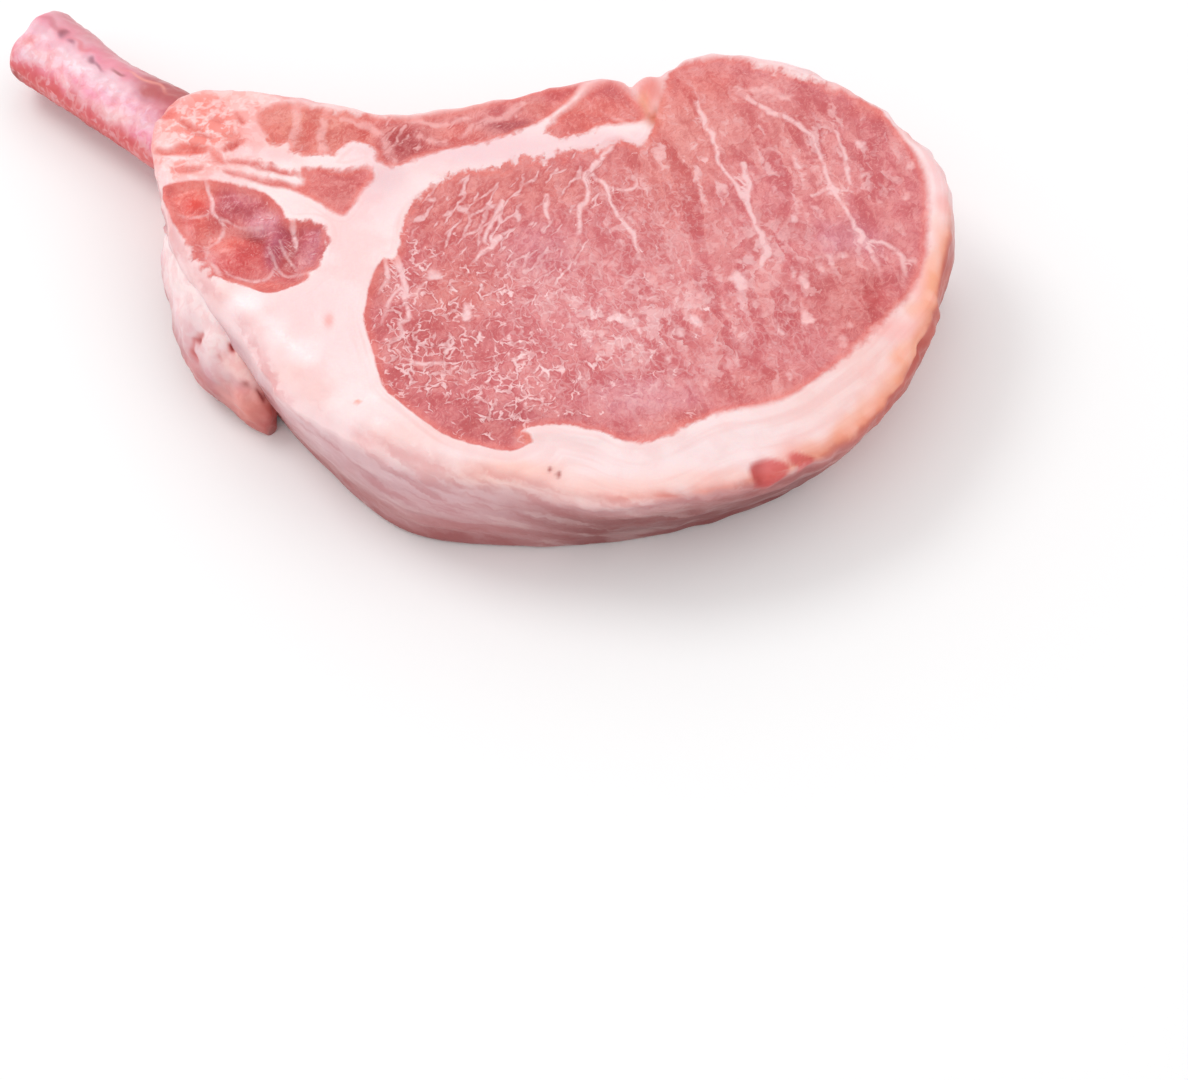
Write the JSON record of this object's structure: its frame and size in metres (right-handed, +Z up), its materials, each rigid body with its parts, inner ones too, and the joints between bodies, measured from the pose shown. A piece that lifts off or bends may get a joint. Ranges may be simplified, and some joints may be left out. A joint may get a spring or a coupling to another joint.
{
  "type": "raw pork chop",
  "caption": "Thick raw bone-in pork rib chop with a frenched rib bone, marbled loin eye, darker blade muscle and a broad cap of creamy fat.",
  "frame": {"origin": "on the table, under the middle of the bounding box", "axes": "+X along the chop towards the loin end, the rib bone leaving at -X; +Y towards the hollow rib side; +Z up out of the shown cut face"},
  "size_m": [0.165, 0.1107, 0.025],
  "materials": {
    "bone": "moist scraped rib bone, pink and violet mottling with a pale ridge",
    "fat": "creamy pink-white fresh fat with a wet sheen",
    "flap_fat": "grey-pink membrane over soft fat, moist",
    "loin_lean": "cut pink lean with fine white marbling, moist",
    "rib_lean": "salmon-red lean streaked with fat, moist",
    "dark_lean": "dark red lean, glossy and wet"
  },
  "bodies": {
    "root": {"rib_bone": "bone", "fat_cover": "fat", "side_flap": "flap_fat", "loin_eye": "loin_lean", "rib_muscle": "rib_lean", "corner_muscle": "rib_lean", "wedge_muscle": "rib_lean", "blade_muscle": "dark_lean"}
  },
  "joints": []
}
